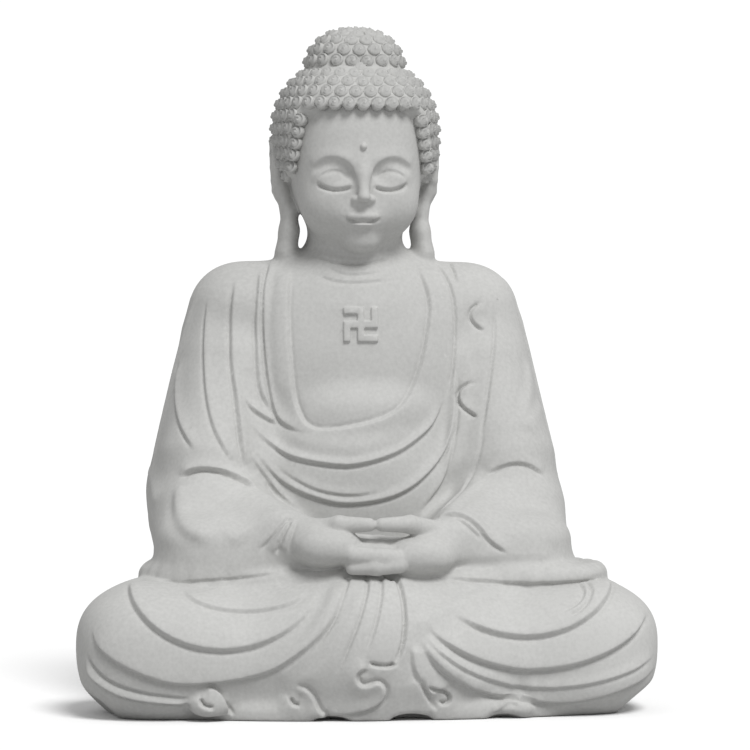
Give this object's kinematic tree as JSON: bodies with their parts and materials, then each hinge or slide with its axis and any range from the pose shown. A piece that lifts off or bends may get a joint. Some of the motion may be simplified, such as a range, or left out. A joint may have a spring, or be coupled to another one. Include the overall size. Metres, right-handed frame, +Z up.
{
  "type": "seated buddha statue",
  "caption": "Stone figure of a Buddha seated cross-legged in meditation, with both hands in its lap and a flowing robe, standing on a flat underside.",
  "frame": {"origin": "middle of the bounding box of the underside, on the ground", "axes": "+Z up, -Y towards the front that the figure faces, +X to the viewer's right seen from the front"},
  "size_m": [0.9996, 0.6001, 1.2016],
  "materials": {
    "carved_stone": "fine honed light grey stone, carved and rubbed smooth"
  },
  "bodies": {
    "root": {"seated_buddha": "carved_stone"}
  },
  "joints": []
}
